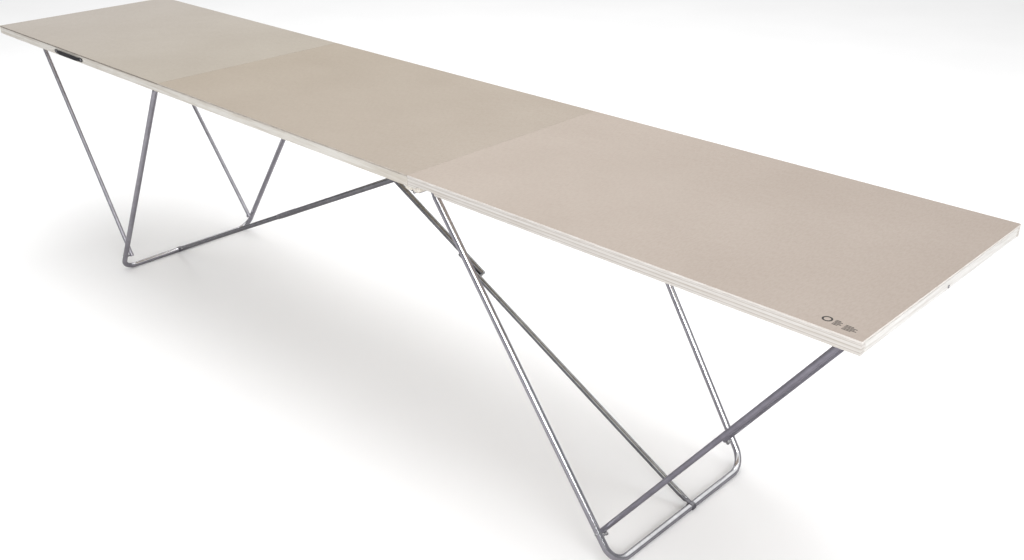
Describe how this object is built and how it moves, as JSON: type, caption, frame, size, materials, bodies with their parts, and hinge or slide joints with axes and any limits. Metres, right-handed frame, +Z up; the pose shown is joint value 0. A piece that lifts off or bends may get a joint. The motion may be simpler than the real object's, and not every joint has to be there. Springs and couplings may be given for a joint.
{
  "type": "folding pasting table",
  "caption": "Long folding work table: hinged board sections on tubular U legs with end struts and long crossing braces, and a carrying handle.",
  "frame": {"origin": "on the floor under the middle of the table, at the bounding box's bottom centre", "axes": "+X along the table's length, towards the end section that folds last; +Y across the table, away from the handle; +Z up"},
  "size_m": [2.9994, 0.605, 0.7498],
  "materials": {
    "board": "smooth fibreboard",
    "timber": "planed, unfinished softwood",
    "zinc_tube": "bright zinc plated tube",
    "zinc_plate": "zinc plated pressing",
    "black_plastic": "fine moulded grain"
  },
  "bodies": {
    "middle_section": {"middle_sheet": "board", "middle_front_rail": "timber", "middle_back_rail": "timber", "middle_left_cross_rail": "timber", "middle_right_cross_rail": "timber", "left_seam_front_hinge_middle_leaf": "zinc_plate", "left_seam_back_hinge_middle_leaf": "zinc_plate", "right_seam_front_hinge_middle_leaf": "zinc_plate", "right_seam_back_hinge_middle_leaf": "zinc_plate", "middle_front_lug": "timber", "middle_back_lug": "timber", "left_brace_bracket": "zinc_plate", "right_brace_bracket": "zinc_plate"},
    "left_section": {"left_sheet": "board", "left_front_rail": "timber", "left_back_rail": "timber", "left_left_cross_rail": "timber", "left_right_cross_rail": "timber", "left_seam_front_hinge_end_leaf": "zinc_plate", "left_seam_back_hinge_end_leaf": "zinc_plate", "left_front_leg_bracket": "zinc_plate", "left_back_leg_bracket": "zinc_plate", "left_front_strut_bracket": "zinc_plate", "left_back_strut_bracket": "zinc_plate", "carrying_handle": "black_plastic"},
    "right_section": {"right_sheet": "board", "right_front_rail": "timber", "right_back_rail": "timber", "right_left_cross_rail": "timber", "right_right_cross_rail": "timber", "right_seam_front_hinge_end_leaf": "zinc_plate", "right_seam_back_hinge_end_leaf": "zinc_plate", "right_front_lug": "timber", "right_back_lug": "timber", "right_front_leg_bracket": "zinc_plate", "right_back_leg_bracket": "zinc_plate", "right_front_strut_bracket": "zinc_plate", "right_back_strut_bracket": "zinc_plate"},
    "left_leg": {"left_leg_frame": "zinc_tube", "left_front_strut_catch": "zinc_plate", "left_back_strut_catch": "zinc_plate"},
    "left_struts": {"left_front_strut": "zinc_tube", "left_back_strut": "zinc_tube"},
    "left_upper_brace": {"left_brace_upper": "zinc_tube", "left_brace_clasp": "zinc_plate"},
    "left_lower_brace": {"left_brace_lower": "zinc_tube", "left_brace_clip": "zinc_plate"},
    "right_leg": {"right_leg_frame": "zinc_tube", "right_front_strut_catch": "zinc_plate", "right_back_strut_catch": "zinc_plate"},
    "right_struts": {"right_front_strut": "zinc_tube", "right_back_strut": "zinc_tube"},
    "right_upper_brace": {"right_brace_upper": "zinc_tube", "right_brace_clasp": "zinc_plate"},
    "right_lower_brace": {"right_brace_lower": "zinc_tube", "right_brace_clip": "zinc_plate"}
  },
  "joints": [
    {"name": "left_section_fold", "type": "hinge", "parent": "middle_section", "child": "left_section", "pos_m": [-0.5, 0.0025, 0.7205], "axis": [0, -1, 0], "range_deg": [0, 180]},
    {"name": "right_section_fold", "type": "hinge", "parent": "middle_section", "child": "right_section", "pos_m": [0.5, 0.0025, 0.7072], "axis": [0, 1, 0], "range_deg": [0, 180]},
    {"name": "left_leg_fold", "type": "hinge", "parent": "left_section", "child": "left_leg", "pos_m": [-0.55, 0.0025, 0.73], "axis": [0, 1, 0], "range_deg": [0, 55.4]},
    {"name": "left_struts_fold", "type": "hinge", "parent": "left_section", "child": "left_struts", "pos_m": [-1.468, 0.0025, 0.737], "axis": [0, -1, 0], "range_deg": [0, 54.9]},
    {"name": "left_upper_brace_fold", "type": "hinge", "parent": "middle_section", "child": "left_upper_brace", "pos_m": [0.476, 0.0025, 0.737], "axis": [0, 1, 0], "range_deg": [0, 25.8]},
    {"name": "left_lower_brace_fold", "type": "hinge", "parent": "left_leg", "child": "left_lower_brace", "pos_m": [-1.04, 0.0025, 0.008], "axis": [0, -1, 0], "range_deg": [0, 30.3]},
    {"name": "right_leg_fold", "type": "hinge", "parent": "right_section", "child": "right_leg", "pos_m": [0.55, 0.0025, 0.73], "axis": [0, -1, 0], "range_deg": [0, 55.4]},
    {"name": "right_struts_fold", "type": "hinge", "parent": "right_section", "child": "right_struts", "pos_m": [1.468, 0.0025, 0.737], "axis": [0, 1, 0], "range_deg": [0, 54.9]},
    {"name": "right_upper_brace_fold", "type": "hinge", "parent": "middle_section", "child": "right_upper_brace", "pos_m": [-0.476, 0.0025, 0.737], "axis": [0, -1, 0], "range_deg": [0, 25.8]},
    {"name": "right_lower_brace_fold", "type": "hinge", "parent": "right_leg", "child": "right_lower_brace", "pos_m": [1.04, 0.0025, 0.008], "axis": [0, 1, 0], "range_deg": [0, 30.3]}
  ],
  "couplings": [
    {"joint": "right_section_fold", "follows": "left_section_fold", "ratio": 0.5},
    {"joint": "left_leg_fold", "follows": "left_section_fold", "ratio": 0.30707},
    {"joint": "left_struts_fold", "follows": "left_section_fold", "ratio": 0.30391},
    {"joint": "left_upper_brace_fold", "follows": "left_section_fold", "ratio": 0.14268},
    {"joint": "left_lower_brace_fold", "follows": "left_section_fold", "ratio": 0.16753},
    {"joint": "right_leg_fold", "follows": "left_section_fold", "ratio": 0.30707},
    {"joint": "right_struts_fold", "follows": "left_section_fold", "ratio": 0.30391},
    {"joint": "right_upper_brace_fold", "follows": "left_section_fold", "ratio": 0.14268},
    {"joint": "right_lower_brace_fold", "follows": "left_section_fold", "ratio": 0.16753}
  ]
}
